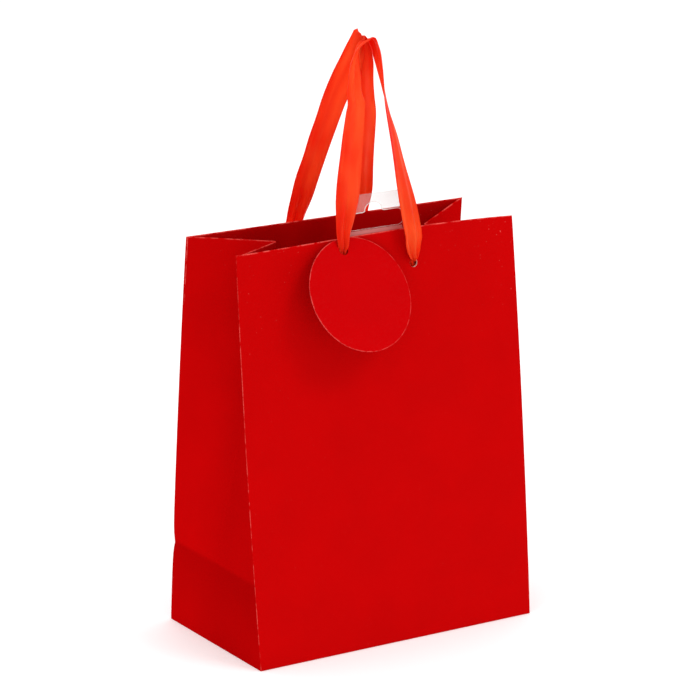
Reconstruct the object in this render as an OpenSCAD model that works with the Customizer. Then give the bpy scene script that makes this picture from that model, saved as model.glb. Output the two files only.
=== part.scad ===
// Paper gift bag with ribbon handles, a round tag and a clear hang tab.
// The origin is the centre of the base, on the surface the bag stands on.
// X runs along the front, Y from the front to the rear, and Z up.

/* [Bag] */
// Width across the front
bag_w = 180; // [160:1:200]
// Height of the front and rear panels, along the paper
bag_h = 230; // [210:1:250]
// Depth of the base, front to rear
bag_d = 100; // [90:1:110]
// Thickness of one ply of paper
paper_t = 0.3; // [0.2:0.05:0.4]

/* [Stance] */
// Backward lean of the front panel, in degrees
front_lean = 6.4; // [4:0.1:8]
// Forward lean of the rear panel, in degrees
rear_lean = 5.5; // [4:0.1:8]
// How far the left gusset folds in at the mouth
left_fold_in = 40.3; // [30:0.1:46]
// How far the right gusset folds in at the mouth
right_fold_in = 43.8; // [30:0.1:46]

/* [Mouth] */
// Height of the paper that is turned in round the mouth
turn_h = 38; // [30:1:45]
// Thickness of the card under the turned-in paper
card_t = 0.5; // [0.4:0.1:1]
// Height of that card
card_h = 34; // [28:1:36]
// Length of that card
card_w = 166; // [140:1:168]

/* [Base] */
// Thickness of the loose base board
board_t = 0.8; // [0.6:0.1:1.2]
// Gap between the base board and the walls, on each side
board_gap = 2.5; // [2.5:0.1:4]

/* [Ribbons] */
// Distance of each ribbon hole from the middle of its panel
hole_x = 22.5; // [20:0.5:26]
// Distance of the ribbon holes below the mouth
hole_down = 17.5; // [15:0.5:20]
// Diameter of the ribbon holes
hole_dia = 5; // [4:0.5:6]
// Thickness of a ribbon handle
ribbon_t = 0.7; // [0.5:0.1:0.9]
// Height of the handles' tops above the base
handle_top = 336; // [330:1:340]
// Diameter of the knots inside the bag
knot_dia = 7; // [6:0.2:8]

/* [Tag] */
// Diameter of the round tag
tag_dia = 65; // [55:1:68]
// Thickness of the tag
tag_t = 0.5; // [0.3:0.1:0.8]
// Diameter of the tag's hole
tag_hole_dia = 6; // [6:0.5:7]
// Distance between the centres of the tag and of its hole
tag_hole_offset = 26; // [22:0.5:27]
// How far the tag stands off the front panel at its hole
tag_off = 4.2; // [4:0.1:5]
// Angle that the tag leans out from the panel, in degrees
tag_lean = 22.4; // [3:0.1:24]
// Angle that the tag has swung round its hole, in degrees
tag_swing = 6.5; // [0:0.5:25]
// Angle that the tag is turned to the right, in degrees
tag_yaw = 4; // [0:0.5:6]

/* [Hang tab] */
// Width of the clear hang tab
tab_w = 48; // [46:1:54]
// Height of the hang tab above the mouth
tab_up = 24; // [22:1:26]
// Thickness of the hang tab
tab_t = 0.4; // [0.3:0.1:0.5]
// Length of its hanging slot
slot_w = 38; // [34:1:40]
// Height of its hanging slot
slot_h = 9.2; // [6:0.2:10]
// Height of the bump over the middle of the slot
slot_bump = 5.2; // [3:0.2:6]

/* [Hidden] */

bag_red = "firebrick";
inside_red = "darkred";
ribbon_red = "orangered";
floor_lift = 0.05;          // keeps the leaning panels' lower corners above the floor
cut = 1;                    // how far a cutter runs past what it cuts
mouth_t = 2 * paper_t + card_t;
hole_s = bag_h - hole_down; // height of the ribbon holes, along the panel
turn_w = bag_w - 10;        // the turned-in paper stops short of the folded corners
seam_w = 15;                // width of the glued side seam
edge_gap = 0.9;             // from a panel's outer face to the edge of a gusset
dent = 2;                   // how far the gusset's middle crease starts inside the side
gusset_lift = 0.2;          // keeps the gussets' lower corners above the floor
gusset_inset = 0.08;        // share of the gusset's width by which its turned-in paper stops short
tip_drop = 2;               // how far the gusset's folded-in tip sits below the front panel's top
flap_gap = 0.4;             // between the base flaps and the walls
flap_over = 14;             // how far the front and rear flaps run past the middle
flap_corner = 12;           // cut off their corners
short_flap_gap = 0.6;       // between the short flaps and the walls
short_flap_reach = 42;      // how far the short flaps run in under the board
ply_gap = 0.15;             // between loose parts that lie on each other
ring_sides = 4;             // a ribbon's cross-section is a flat rectangle
ribbon_off = 6;             // how far a ribbon stands off its panel where its handle starts
end_gap = 0.3;              // between a ribbon end and its handle, along the ribbon, on each side of the bend
hinge_s = 228.5;            // the handles bend here: height along the panel
fold_gap = ribbon_t / 2 + ply_gap; // the bend runs along the outer face of the ribbon, like a fold's
hinge_off = ribbon_off + fold_gap;
handle_gap = 1.4;           // between the middles of the two handles at their tops
knot_tail = [10, 0.8, 15];  // the ribbon's cut end below its knot
tab_x = -1;                 // middle of the hang tab
tab_s = bag_h - 12;         // lower edge of the hang tab, along the panel
slot_s = bag_h + 9.3;       // middle of its hanging slot
adhesive_t = 0.15;
adhesive_w = tab_w - 7;      // it starts 1 mm in from the tab's left edge
adhesive_gap = 0.5;         // between the lower edges of the hang tab and of its adhesive
tag_hole_x = -25.2;
tag_hole_s = bag_h - 4;

// Ribbon ends: x, distance inside the panel's outer face, height, width and thickness of each ring
RIGHT_END = [
    [hole_x, 1.15, hole_s, 3.2, 2.2], [hole_x, -0.6, hole_s, 3.2, 2.2], [hole_x, -1.6, hole_s + 1.1, 4.4, 1.8],
    [21.6, -2.4, hole_s + 3.6, 6.4, 1.3], [20.4, -3.9, hole_s + 8.5, 9, 1], [19.4, -5.5, 226.6, 10.2, 0.8],
    [19.3, -ribbon_off, hinge_s - end_gap, 10.4, ribbon_t]
];
LEFT_END = [
    [-hole_x, 1.15, hole_s, 3.2, 2.2], [-hole_x, -0.6, hole_s, 3.2, 2.2], [-22.8, -1.5, hole_s + 1.1, 3.6, 1.6],
    [-23.5, -2, hole_s + 4, 3.8, 1.2], [-24.8, -2.4, hole_s + 10.6, 3.4, 1.2], [-25.2, -4.2, 226.1, 3.2, 1.2],
    [-25.4, -5.7, 227.6, 4.4, 1], [-25.5, -ribbon_off, hinge_s - end_gap, 5.2, ribbon_t]
];
REAR_END = [
    [hole_x, 1.15, hole_s, 3.2, 2.2], [hole_x, -0.6, hole_s, 3.2, 2.2], [hole_x, -1.6, hole_s + 1.1, 4.4, 1.8],
    [21.8, -2.4, hole_s + 3.6, 6.4, 1.3], [21.2, -3.9, hole_s + 8.5, 9, 1],
    [20.8, -ribbon_off, hinge_s - end_gap, 10.6, ribbon_t]
];
// Handles, from the left end over the top to the right end: x, height above the bend and width
FRONT_HANDLE = [
    [-25.5, end_gap, 5.4], [-24.6, 4, 7.4], [-22.6, 13, 10.8], [-19.9, 23, 13.4], [-16.9, 33, 14.4],
    [-12.7, 49, 13.4], [-10.3, 59, 12.4], [-6.8, 72, 10.6], [-4.6, 83, 9], [-2.4, 93, 8], [0.2, 101, 7],
    [3.4, 105.4, 5.4], [7.4, 105.8, 5], [10.6, 102.4, 5.2], [12.4, 96, 6.4], [14.2, 83, 8], [15.4, 68, 9],
    [16.4, 51, 10], [17.6, 36, 11], [19, 19, 12], [19.3, 8, 11.4], [19.3, end_gap, 10.4]
];
REAR_HANDLE = [
    [-20.8, end_gap, 10.6], [-18.9, 7, 13], [-16.8, 14, 14.4], [-14.2, 27, 15], [-11.2, 43, 15], [-8, 58, 15],
    [-5.6, 71, 14], [-3, 85, 11], [-0.2, 97, 8], [3, 103.6, 5.6], [7, 105.2, 5], [10.4, 101.8, 5.4],
    [12.4, 94, 8], [14, 80, 11], [15.7, 60, 13], [18.2, 42, 14], [20.6, 25, 14], [22, 13, 13.4],
    [21.6, 6, 12.4], [20.8, end_gap, 10.6]
];

// Points and directions ---------------------------------------------------------------------------
function front_point(x, inside, s) = [
    x,
    -bag_d / 2 + s * sin(front_lean) + inside * cos(front_lean),
    s * cos(front_lean) - inside * sin(front_lean)
];
function rear_point(x, inside, s) = [
    x,
    bag_d / 2 - s * sin(rear_lean) - inside * cos(rear_lean),
    s * cos(rear_lean) - inside * sin(rear_lean)
];
function unit(v) = v / norm(v);
function facing(p) = unit(cross(p[1] - p[0], p[2] - p[0]));
function between(a, b, share) = a + (b - a) * share;

front_bend = front_point(0, -hinge_off, hinge_s);
rear_bend = rear_point(0, -hinge_off, hinge_s);
handle_reach = handle_gap / 2 + fold_gap;
front_handle_lean = atan2(-handle_reach - front_bend.y, handle_top - front_bend.z);
rear_handle_lean = atan2(rear_bend.y - handle_reach, handle_top - rear_bend.z);

// A flat plate of paper: its corners run anticlockwise seen from inside the bag, where its thickness goes
module plate(p, t, lift = 0) {
    n = len(p);
    in = facing(p);
    polyhedron(
        points = [for (c = p) c + in * lift, for (c = p) c + in * (lift + t)],
        faces = [
            [for (i = [0 : n - 1]) i],
            [for (i = [n - 1 : -1 : 0]) n + i],
            for (i = [0 : n - 1]) [i, n + i, n + (i + 1) % n, (i + 1) % n]
        ]
    );
}

// Frames of the two leaning panels: X across, Y into the bag, Z up the paper
module on_front() {
    translate([0, -bag_d / 2, 0])
        rotate([-front_lean, 0, 0])
            children();
}
module on_rear() {
    translate([0, bag_d / 2, 0])
        rotate([rear_lean, 0, 0])
            mirror([0, 1, 0])
                children();
}

// Parts shared by the front and the rear -------------------------------------------------------------
module ribbon_holes() {
    for (x = [-hole_x, hole_x])
        translate([x, -cut, hole_s])
            rotate([-90, 0, 0])
                cylinder(d = hole_dia, h = mouth_t + 2 * cut, $fn = 48);
}
module panel_paper() {
    difference() {
        translate([-bag_w / 2, 0, floor_lift])
            cube([bag_w, paper_t, bag_h - paper_t - floor_lift]);
        ribbon_holes();
    }
}
module card() {
    difference() {
        translate([-card_w / 2, paper_t, bag_h - paper_t - card_h])
            cube([card_w, card_t, card_h]);
        ribbon_holes();
    }
}
// The paper folds over the mouth's edge and is glued down inside, over the card
module turned_in_paper() {
    difference() {
        union() {
            translate([-turn_w / 2, 0, bag_h - paper_t])
                cube([turn_w, mouth_t, paper_t]);
            translate([-turn_w / 2, paper_t + card_t, bag_h - turn_h])
                cube([turn_w, paper_t, turn_h]);
        }
        ribbon_holes();
    }
}
// A ribbon end is a strip swept through its hole, where it is gathered, and up the outside of the panel
module ribbon_strip(rings) {
    n = len(rings);
    function centre(i) = [rings[i][0], rings[i][1], rings[i][2]];
    function along(i) = unit(centre(min(i + 1, n - 1)) - centre(max(i - 1, 0)));
    function out(i) = unit(cross(along(i), [1, 0, 0]));
    function corner(i, a, b) = centre(i) + [a * rings[i][3] / 2, 0, 0] + out(i) * b * rings[i][4] / 2;
    polyhedron(
        points = [for (i = [0 : n - 1]) each [
            corner(i, -1, -1), corner(i, 1, -1), corner(i, 1, 1), corner(i, -1, 1)
        ]],
        faces = [
            [0, 1, 2, 3],
            [for (k = [ring_sides - 1 : -1 : 0]) (n - 1) * ring_sides + k],
            for (i = [0 : n - 2]) for (k = [0 : ring_sides - 1]) each [
                [i * ring_sides + k, (i + 1) * ring_sides + k, (i + 1) * ring_sides + (k + 1) % ring_sides],
                [i * ring_sides + k, (i + 1) * ring_sides + (k + 1) % ring_sides,
                 i * ring_sides + (k + 1) % ring_sides]
            ]
        ]
    );
}
// A knot behind the hole, with the ribbon's cut tail below it
module knot(x) {
    translate([x, mouth_t + ply_gap + knot_dia / 2, hole_s])
        sphere(d = knot_dia, $fn = 32);
    translate([x - knot_tail.x / 2, mouth_t + knot_dia / 2, hole_s - knot_tail.z - 2])
        cube(knot_tail);
}
// A handle is a flat band cut along its own line, in a plane that leans in over the mouth.
// Its two ends are cut level, and it lies on the inner side of its bend: -1 for the front and 1 for the rear
module handle_band(line, lean, inner) {
    n = len(line);
    function at(i) = [line[i][0], line[i][1] / cos(lean)];
    function along(i) = i == 0 ? [0, 1] : i == n - 1 ? [0, -1] : unit(at(i + 1) - at(i - 1));
    function side(i) = [-along(i).y, along(i).x];
    left = [for (i = [0 : n - 1]) at(i) + side(i) * line[i][2] / 2];
    right = [for (i = [n - 1 : -1 : 0]) at(i) - side(i) * line[i][2] / 2];
    rotate([90 - lean, 0, 0])
        translate([0, 0, inner * fold_gap - ribbon_t / 2])
            linear_extrude(ribbon_t)
                polygon(concat(left, right));
}

// Gussets, drawn on the left and mirrored for the right ------------------------------------------------
// Corners: a and b are the lower and upper ends of the front edge, c and d those of the rear edge
function gusset_a() = front_point(-bag_w / 2, edge_gap, 0) + [0, 0, gusset_lift];
function gusset_b() = front_point(-bag_w / 2, edge_gap, bag_h);
function gusset_c() = rear_point(-bag_w / 2, edge_gap, 0) + [0, 0, gusset_lift];
function gusset_d() = rear_point(-bag_w / 2, edge_gap, bag_h);
// The middle crease runs from its foot, over the flat triangle, to its tip at the mouth
function crease_foot() = [-bag_w / 2 + dent, 0, bag_d / 2];
function crease_tip(fold_in) = [-bag_w / 2 + fold_in, 0, bag_h * cos(front_lean) - tip_drop];

module gusset_front_half(fold_in) {
    plate([gusset_a(), crease_foot(), gusset_b()], paper_t);
    plate([crease_foot(), crease_tip(fold_in), gusset_b()], paper_t);
}
module gusset_rear_half(fold_in) {
    plate([crease_foot(), gusset_c(), gusset_d()], paper_t);
    plate([crease_foot(), gusset_d(), crease_tip(fold_in)], paper_t);
}
module gusset_triangle() {
    plate([gusset_a(), gusset_c(), crease_foot()], paper_t);
}
// Turned-in paper at the top of each half, glued to its inner face
module gusset_turned_in(fold_in) {
    tip = crease_tip(fold_in);
    down = turn_h / (tip.z - bag_d / 2);
    front_top = between(gusset_b(), tip, gusset_inset);
    rear_top = between(gusset_d(), tip, gusset_inset);
    low_tip = between(tip, crease_foot(), down);
    plate([low_tip, tip, front_top, between(front_top, crease_foot(), down)], paper_t, paper_t);
    plate([tip, low_tip, between(rear_top, crease_foot(), down), rear_top], paper_t, paper_t);
}

// Bag body -------------------------------------------------------------------------------------------------
module front_panel() {
    color(bag_red)
        on_front() panel_paper();
}
module rear_panel() {
    color(bag_red)
        on_rear() panel_paper();
}
module front_turn_top() {
    color(inside_red)
        on_front() turned_in_paper();
}
module rear_turn_top() {
    color(inside_red)
        on_rear() turned_in_paper();
}
module front_reinforcement_card() {
    color("tan")
        on_front() card();
}
module rear_reinforcement_card() {
    color("tan")
        on_rear() card();
}
module side_seam_flap() {
    color(inside_red)
        on_rear()
            translate([bag_w / 2 - seam_w - 1, paper_t, 2])
                cube([seam_w, paper_t, bag_h - turn_h - 4]);
}
module left_gusset_front_half() {
    color(bag_red) gusset_front_half(left_fold_in);
}
module left_gusset_rear_half() {
    color(bag_red) gusset_rear_half(left_fold_in);
}
module left_gusset_triangle() {
    color(bag_red) gusset_triangle();
}
module left_gusset_turn_top() {
    color(inside_red) gusset_turned_in(left_fold_in);
}
module right_gusset_front_half() {
    color(bag_red) mirror([1, 0, 0]) gusset_front_half(right_fold_in);
}
module right_gusset_rear_half() {
    color(bag_red) mirror([1, 0, 0]) gusset_rear_half(right_fold_in);
}
module right_gusset_triangle() {
    color(bag_red) mirror([1, 0, 0]) gusset_triangle();
}
module right_gusset_turn_top() {
    color(inside_red) mirror([1, 0, 0]) gusset_turned_in(right_fold_in);
}

// Base: the short flaps fold in first, then the rear flap, then the front flap, and the board lies on top -----
module long_flap(level) {
    side = bag_w / 2 - flap_gap;
    edge = bag_d / 2 - paper_t - ply_gap;
    translate([0, 0, level])
        linear_extrude(paper_t)
            polygon([
                [-side, -edge], [side, -edge], [side, flap_over - flap_corner],
                [side - flap_corner, flap_over], [-side + flap_corner, flap_over],
                [-side, flap_over - flap_corner]
            ]);
}
module short_flap() {
    edge = bag_d / 2 - edge_gap - short_flap_gap;
    slope = edge - short_flap_reach;
    translate([-bag_w / 2 + short_flap_gap, 0, 2 * paper_t])
        linear_extrude(paper_t)
            polygon([[0, -edge], [short_flap_reach, -slope], [short_flap_reach, slope], [0, edge]]);
}
module base_front_flap() {
    color(bag_red) long_flap(0);
}
module base_rear_flap() {
    color(bag_red) mirror([0, 1, 0]) long_flap(paper_t);
}
module base_left_flap() {
    color(inside_red) short_flap();
}
module base_right_flap() {
    color(inside_red) mirror([1, 0, 0]) short_flap();
}
module base_board() {
    color("silver")
        translate([-bag_w / 2 + board_gap, -bag_d / 2 + board_gap, 3 * paper_t + ply_gap])
            cube([bag_w - 2 * board_gap, bag_d - 2 * board_gap, board_t]);
}

// Ribbons ------------------------------------------------------------------------------------------------------
module front_ribbon_left_end() {
    color(ribbon_red)
        on_front() ribbon_strip(LEFT_END);
}
module front_ribbon_right_end() {
    color(ribbon_red)
        on_front() ribbon_strip(RIGHT_END);
}
module rear_ribbon_left_end() {
    color(ribbon_red)
        on_rear() mirror([1, 0, 0]) ribbon_strip(REAR_END);
}
module rear_ribbon_right_end() {
    color(ribbon_red)
        on_rear() ribbon_strip(REAR_END);
}
module front_left_knot() {
    color(ribbon_red)
        on_front() knot(-hole_x);
}
module front_right_knot() {
    color(ribbon_red)
        on_front() knot(hole_x);
}
module rear_left_knot() {
    color(ribbon_red)
        on_rear() knot(-hole_x);
}
module rear_right_knot() {
    color(ribbon_red)
        on_rear() knot(hole_x);
}
module front_ribbon_handle() {
    color(ribbon_red)
        translate(front_bend)
            handle_band(FRONT_HANDLE, front_handle_lean, -1);
}
module rear_ribbon_handle() {
    color(ribbon_red)
        translate(rear_bend)
            handle_band(REAR_HANDLE, -rear_handle_lean, 1);
}

// Tag and hang tab ---------------------------------------------------------------------------------------------
module gift_tag() {
    color("crimson")
        on_front()
            translate([tag_hole_x, -tag_off, tag_hole_s])
                rotate([-tag_lean, 0, tag_yaw])
                    rotate([0, -tag_swing, 0])
                        rotate([90, 0, 0])
                            linear_extrude(tag_t)
                                difference() {
                                    translate([0, -tag_hole_offset]) circle(d = tag_dia, $fn = 120);
                                    circle(d = tag_hole_dia, $fn = 48);
                                }
}
module hang_slot() {
    translate([0, slot_s]) {
        translate([-slot_w / 2, -slot_h / 2]) square([slot_w, slot_h]);
        intersection() {
            translate([0, slot_h / 2 - 1]) circle(r = slot_bump + 1, $fn = 48);
            translate([-slot_bump - 1, 0]) square([2 * slot_bump + 2, slot_h / 2 + slot_bump]);
        }
    }
}
module hang_tab() {
    color("lightgrey")
        on_front()
            translate([tab_x, mouth_t + adhesive_t + tab_t, 0])
                rotate([90, 0, 0])
                    linear_extrude(tab_t)
                        difference() {
                            translate([-tab_w / 2, tab_s]) square([tab_w, bag_h + tab_up - tab_s]);
                            hang_slot();
                        }
}
module hang_tab_adhesive() {
    color("pink")
        on_front()
            translate([tab_x - tab_w / 2 + 1, mouth_t, tab_s + adhesive_gap])
                cube([adhesive_w, adhesive_t, bag_h - tab_s + 3]);
}

front_panel();
front_turn_top();
front_reinforcement_card();
rear_panel();
rear_turn_top();
rear_reinforcement_card();
side_seam_flap();
left_gusset_front_half();
left_gusset_rear_half();
left_gusset_triangle();
left_gusset_turn_top();
right_gusset_front_half();
right_gusset_rear_half();
right_gusset_triangle();
right_gusset_turn_top();
base_front_flap();
base_rear_flap();
base_left_flap();
base_right_flap();
base_board();
front_ribbon_left_end();
front_ribbon_right_end();
front_left_knot();
front_right_knot();
rear_ribbon_left_end();
rear_ribbon_right_end();
rear_left_knot();
rear_right_knot();
front_ribbon_handle();
rear_ribbon_handle();
gift_tag();
hang_tab();
hang_tab_adhesive();
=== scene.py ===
"""A red paper gift bag with satin ribbon handles, a round tag and a clear hang tab."""

import math

import bmesh
import bpy
import numpy as np
from mathutils import Matrix, Vector


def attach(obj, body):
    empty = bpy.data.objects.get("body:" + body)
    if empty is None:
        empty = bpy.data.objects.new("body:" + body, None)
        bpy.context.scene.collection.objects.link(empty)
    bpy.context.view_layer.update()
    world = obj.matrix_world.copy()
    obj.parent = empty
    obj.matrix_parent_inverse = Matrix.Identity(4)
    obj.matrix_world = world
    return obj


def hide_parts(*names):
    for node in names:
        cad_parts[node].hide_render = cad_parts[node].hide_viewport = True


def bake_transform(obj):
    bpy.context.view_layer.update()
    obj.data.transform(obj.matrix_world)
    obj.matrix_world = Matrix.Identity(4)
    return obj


MM = 0.001
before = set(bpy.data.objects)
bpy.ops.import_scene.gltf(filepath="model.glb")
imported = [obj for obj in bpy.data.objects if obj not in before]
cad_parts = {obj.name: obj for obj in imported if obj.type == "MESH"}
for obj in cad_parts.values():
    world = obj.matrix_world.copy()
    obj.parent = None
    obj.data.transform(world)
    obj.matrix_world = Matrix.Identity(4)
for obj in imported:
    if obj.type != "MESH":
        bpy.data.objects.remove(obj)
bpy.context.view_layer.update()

# ---- Driving dimensions, in metres and radians ---------------------------------------------------
BAG_W = 180 * MM
BAG_H = 230 * MM
BAG_D = 100 * MM
PAPER = 0.3 * MM
MOUTH_T = 1.1 * MM  # two plies and the card between them
GUSSET_TOP_T = 0.8 * MM  # two plies and the air between them
TURN_H = 38 * MM
FRONT_LEAN = math.radians(6.4)
REAR_LEAN = math.radians(5.5)
FOLD_IN = {"left": 40.3 * MM, "right": 43.8 * MM}  # how far the gussets reach in at the mouth
CREASE_FOOT = BAG_D / 2  # height where the flat triangle ends
DENT = 1.4 * MM  # how far the middle crease is pushed in there
EDGE_BOW = 1.2 * MM  # how far the upright creases bow outward at mid height
REAR_FLARE = 1.1 * MM  # how much wider the rear stands at the mouth
TOP_RISE = (0.6 * MM, 1.5 * MM)  # rise of the front's top edge: everywhere, and more in the middle
RISE_SKEW = 0.75  # the right half rises more than the left one
NOTCH = 1.4 * MM  # how far the rear creases are pushed in where the base was folded flat
NOTCH_S = 0.96 * CREASE_FOOT  # the height of that notch
NOTCH_REACH = 5 * MM  # how far along the crease it fades
PAINTED_SHADE_TOP = 49 * MM  # a band of painted shade lies on the gussets below this height, just under the crease of that same fold
TIP_DROP = {"left": 0.4, "right": 0.9}  # share of a stiff fold's lowering that shows at the mouth
RIDGE = 2.0 * MM  # how far the gusset bulges along the crease it was folded flat on
RIDGE_BELOW = 26 * MM  # how far that bulge reaches down
RIDGE_ABOVE = 34 * MM  # and up
MIDDLE_SHARE = 0.535  # the gusset's middle crease lies a little nearer to the front
PATTERN_SHIFT = {"left": 0.4, "right": 0.7}  # so that each gusset has its own part of the paper's pattern
GUSSET_TUCK = 0.35 * MM  # the gusset's edges start just inside the panels' rounded creases
GUSSET_THIN = 0.06  # share of the gusset's half width in which it thins towards those edges
CREASE_SOFT = 0.02  # roundness of the gusset's middle crease
CORNER_R = 0.6 * MM
FOOT_LIFT = 0.1 * MM  # how far the rounded foot clears the floor
CORNER_TURN = 1.35  # the angle through which a panel's rounded crease turns
HOLE_X = 22.5 * MM
HOLE_S = BAG_H - 17.5 * MM
HOLE_R = 2.5 * MM
KNOT_DROP = 2 * MM  # how far a knot hangs below the middle of its hole
KNOT_IN = 2.9 * MM  # how far its middle lies behind the panel
KNOT_SIZE = 0.8 * MM
STRAND_R = 1.5 * MM
RIBBON_W = 15 * MM
RIBBON_T = 0.22 * MM
RIBBON_MIN_W = 2.5 * MM
PLEATS = 2.0
TAG_R = 32.5 * MM
TAG_T = 0.5 * MM
TAG_HOLE = (-25.2 * MM, -4.2 * MM, BAG_H - 4 * MM)  # x, inside the panel's outer face, height
TAG_HOLE_R = 3 * MM
TAG_HOLE_OFFSET = 26 * MM
TAG_LEAN = math.radians(22.4)
TAG_YAW = math.radians(4)
TAG_SWING = math.radians(6.5)
TAB_X = -1 * MM
TAB_W = 48 * MM
TAB_T = 0.35 * MM
TAB_UP = 24 * MM
TAB_DOWN = 12 * MM
TAB_CORNER_R = 2.5 * MM
TAB_IN = MOUTH_T + 0.15 * MM + TAB_T / 2  # the film's middle, inside the panel's outer face
TAB_SHADE_TOP = BAG_H + 7.5 * MM  # below this height the film's haze is thinned as painted shade, where the film lies in the bag's shade
SLOT_W = 38 * MM
SLOT_H = 9.2 * MM
SLOT_END_R = 3.6 * MM
SLOT_S = BAG_H + 9.3 * MM
BUMP_R = 5.6 * MM  # half the width of the bump over the slot's middle
BUMP_H = 5.2 * MM
BUMP_FOOT = (1.4 * MM, 0.5 * MM)  # width and height of its slanted feet
RIM_R = 0.24 * MM
GLUE_T = 0.12 * MM
GLUE_IN = MOUTH_T + 0.08 * MM
GLUE_LEFT = -TAB_W / 2 + 1 * MM
GLUE_RIGHT = TAB_W / 2 - 6 * MM
GLUE_TOP = BAG_H + 4.2 * MM
GLUE_LOW = GLUE_TOP - TAB_DOWN - 3 * MM
GLUE_SLANT = 2.2 * MM
BEND_S = 228.5 * MM  # the height at which the ribbons bend when a handle swings; a point there is computed but not used
BEND_OFF = 6 * MM

# ---- Colours, as screen values of 0 to 255 -------------------------------------------------------
RED = (189, 0, 2)
GUSSET_RED = (187, 0, 2)
TAG_RED = (191, 0, 4)
INSIDE_RED = (200, 0, 3)
# the colour of the painted shade on the gussets
PAINTED_SHADE_RED = (120, 0, 1)
PALE = (236, 96, 88)
TAG_PALE = (236, 96, 90)

# ---- Camera, at the photograph's viewing angle ---------------------------------------------------
CAM_AZ = math.radians(-32.562)
CAM_EL = math.radians(16.912)
CAM_ROLL = math.radians(0.408)
CAM_DIST = 2.0332
CAM_TARGET = Vector((0, 0, 0.115))
CAM_LENS = 185.8
CAM_SHIFT = (-0.0033, 0.1048)


def make_camera():
    level = math.cos(CAM_EL)
    back = Vector((math.sin(CAM_AZ) * level, -math.cos(CAM_AZ) * level, math.sin(CAM_EL)))
    right = (-back).cross(Vector((0, 0, 1))).normalized()
    up = right.cross(-back)
    side = right * math.cos(CAM_ROLL) + up * math.sin(CAM_ROLL)
    top = up * math.cos(CAM_ROLL) - right * math.sin(CAM_ROLL)
    data = bpy.data.cameras.new("camera")
    data.lens = CAM_LENS
    data.sensor_width = 36
    data.shift_x, data.shift_y = CAM_SHIFT
    data.clip_end = 50
    camera = bpy.data.objects.new("camera", data)
    bpy.context.scene.collection.objects.link(camera)
    turn = Matrix((side, top, back)).transposed().to_4x4()
    camera.matrix_world = Matrix.Translation(CAM_TARGET + back * CAM_DIST) @ turn
    bpy.context.scene.camera = camera


def area_light(name, place, size, power):
    data = bpy.data.lights.new(name, "AREA")
    data.shape = "DISK"
    data.size = size
    data.energy = power
    light = bpy.data.objects.new(name, data)
    bpy.context.scene.collection.objects.link(light)
    light.location = place
    aim = CAM_TARGET - Vector(place)
    light.rotation_euler = aim.to_track_quat("-Z", "Y").to_euler()


def make_stage():
    scene = bpy.context.scene
    scene.view_settings.view_transform = "Standard"
    scene.view_settings.look = "None"
    world = bpy.data.worlds.new("studio")
    scene.world = world
    world.use_nodes = True
    background = world.node_tree.nodes["Background"]
    background.inputs["Color"].default_value = (1, 1, 1, 1)
    background.inputs["Strength"].default_value = 0.9
    bpy.ops.mesh.primitive_circle_add(vertices=96, radius=14, fill_type="NGON", location=(0, 0, -0.2 * MM))
    floor = bpy.context.object
    floor.name = "floor"
    look = bpy.data.materials.new("floor")
    look.use_nodes = True
    shader = look.node_tree.nodes["Principled BSDF"]
    shader.inputs["Base Color"].default_value = (0.97, 0.97, 0.97, 1)
    shader.inputs["Roughness"].default_value = 0.9
    shader.inputs["Specular IOR Level"].default_value = 0.1
    shader.inputs["Emission Color"].default_value = (1, 1, 1, 1)
    shader.inputs["Emission Strength"].default_value = 0.12
    floor.data.materials.append(look)
    area_light("key", (0.9, -1.6, 1.75), size=0.9, power=9.6)
    area_light("left", (-1.8, -0.45, 1.3), size=1.2, power=5.8)
    area_light("top", (0.1, 0.2, 2.4), size=2.0, power=12)


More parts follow.
